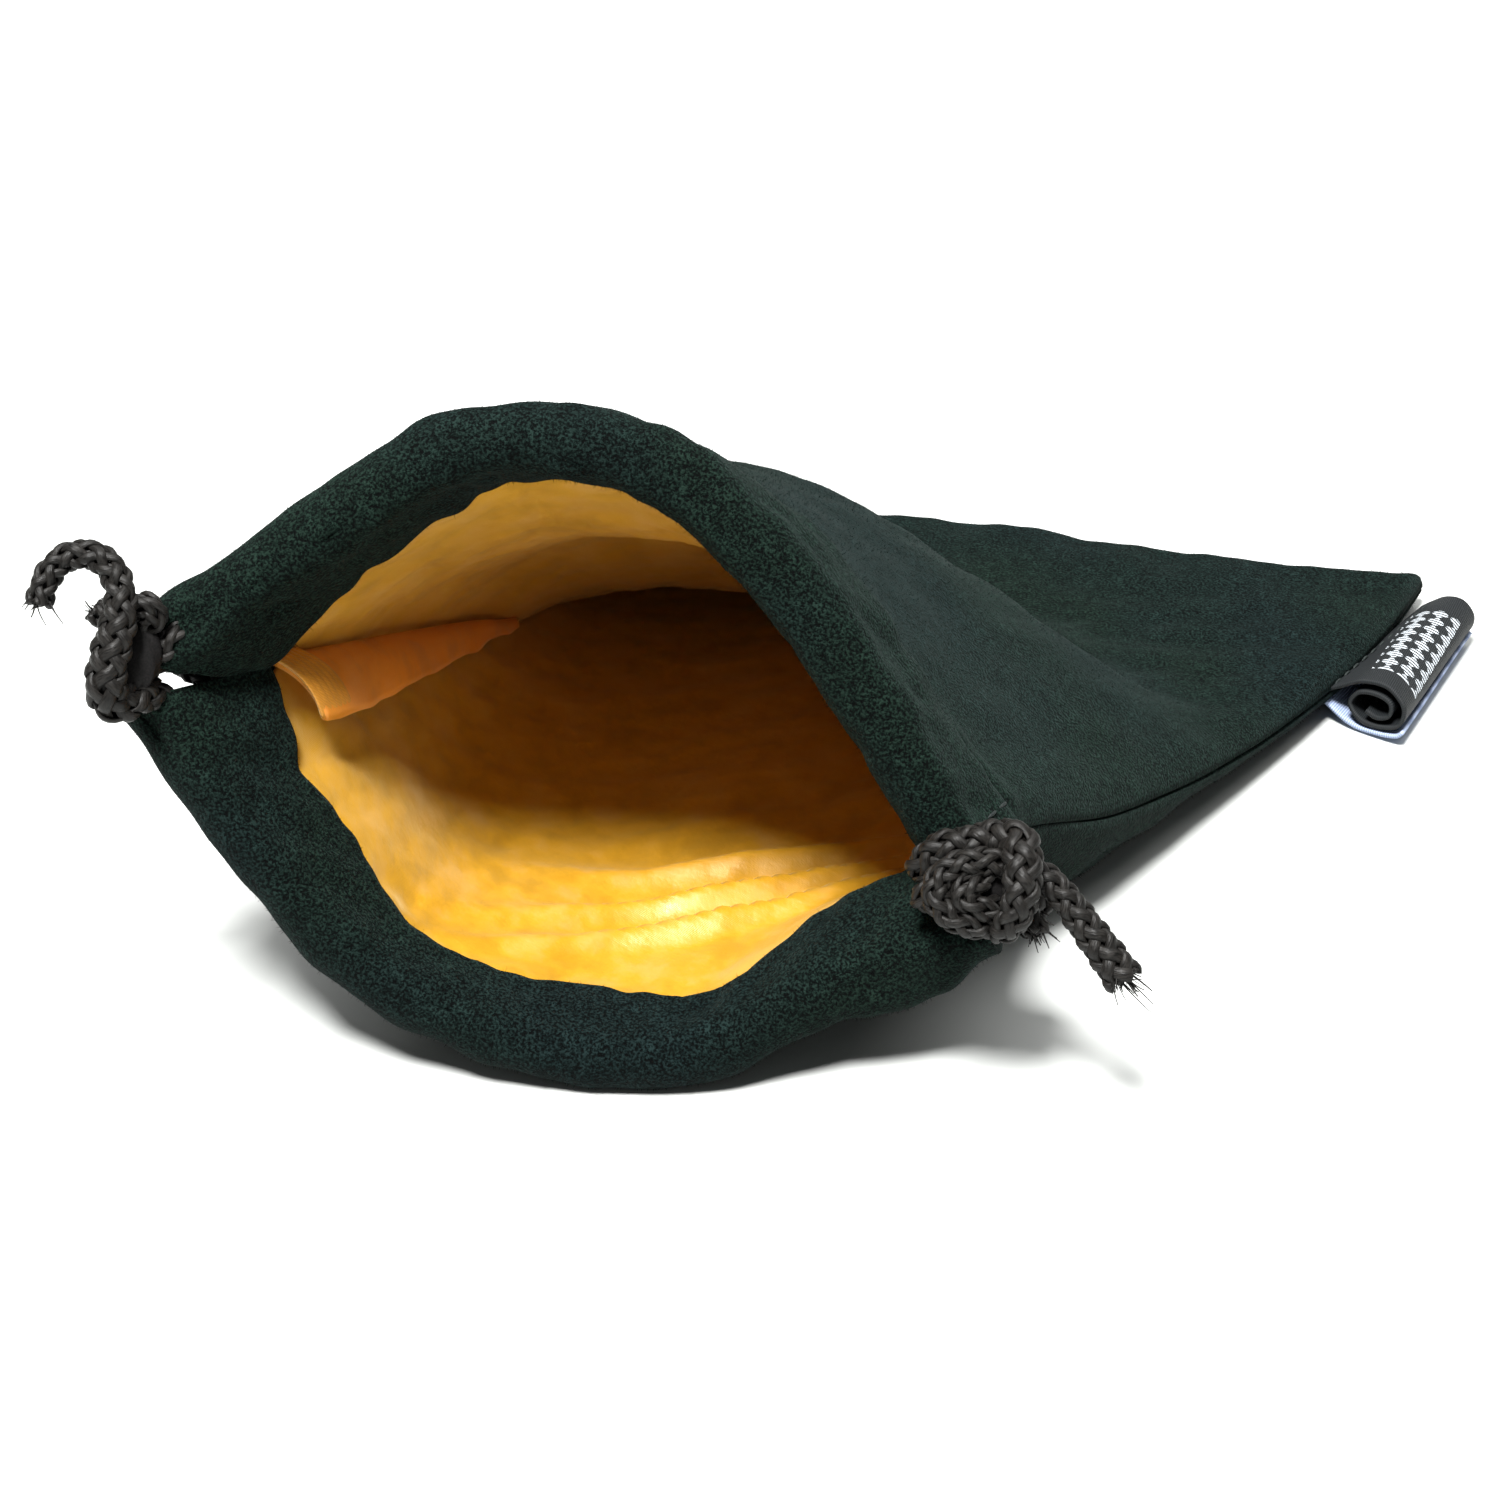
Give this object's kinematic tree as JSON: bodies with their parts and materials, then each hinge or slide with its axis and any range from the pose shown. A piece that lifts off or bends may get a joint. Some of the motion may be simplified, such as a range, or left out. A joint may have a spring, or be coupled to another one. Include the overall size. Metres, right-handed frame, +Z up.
{
  "type": "drawstring dice bag",
  "caption": "Soft lined drawstring pouch for dice, lying on its side with its mouth propped open and a knotted pull cord at each side.",
  "frame": {"origin": "on the table, under the middle of the bag without its cords", "axes": "+Z up, the mouth faces -Y, the bottom seam is at +Y, +X is the side with the woven label"},
  "size_m": [0.1392, 0.1183, 0.0636],
  "materials": {
    "nap_cloth": "short dense nap, matte, black green",
    "gold_satin": "satin weave, glossy gold",
    "cord_yarn": "braided yarn, semi-gloss black",
    "label_weave": "woven tape, black face and pale back",
    "black_thread": "spun sewing thread"
  },
  "bodies": {
    "bag": {"outer_upper_panel": "nap_cloth", "outer_lower_panel": "nap_cloth", "lining_upper_panel": "gold_satin", "lining_lower_panel": "gold_satin", "left_seam_allowance": "gold_satin", "right_seam_allowance": "gold_satin", "left_drawcord": "cord_yarn", "right_drawcord": "cord_yarn", "left_seam_thread": "black_thread", "right_seam_thread": "black_thread", "bottom_seam_thread": "black_thread", "upper_casing_stitching": "black_thread", "lower_casing_stitching": "black_thread", "upper_left_end_stitching": "black_thread", "upper_right_end_stitching": "black_thread", "lower_left_end_stitching": "black_thread", "lower_right_end_stitching": "black_thread"},
    "left_pull": {"left_knot": "cord_yarn", "left_tail": "cord_yarn", "left_stub": "cord_yarn"},
    "right_pull": {"right_knot": "cord_yarn", "right_tail": "cord_yarn", "right_stub": "cord_yarn"},
    "label": {"woven_label": "label_weave", "label_stitching": "black_thread"}
  },
  "joints": [
    {"name": "left_cord_pull", "type": "slide", "parent": "bag", "child": "left_pull", "axis": [-1, 0, 0], "range_m": [0, 0.005], "deforming": ["outer_upper_panel", "outer_lower_panel", "lining_upper_panel", "lining_lower_panel", "left_seam_allowance", "right_seam_allowance", "left_drawcord", "right_drawcord", "left_seam_thread", "right_seam_thread", "bottom_seam_thread", "upper_casing_stitching", "lower_casing_stitching", "upper_left_end_stitching", "upper_right_end_stitching", "lower_left_end_stitching", "lower_right_end_stitching"]},
    {"name": "right_cord_pull", "type": "slide", "parent": "bag", "child": "right_pull", "axis": [1, 0, 0], "range_m": [0, 0.005]},
    {"name": "label_flap", "type": "hinge", "parent": "bag", "child": "label", "pos_m": [0.0468, 0.02746, 0.003], "axis": [-0.4442, -0.8958, 0.0148], "range_deg": [-3, 35], "stiffness_Nm_per_rad": 0.003}
  ],
  "couplings": [
    {"joint": "right_cord_pull", "follows": "left_cord_pull", "ratio": 1}
  ]
}
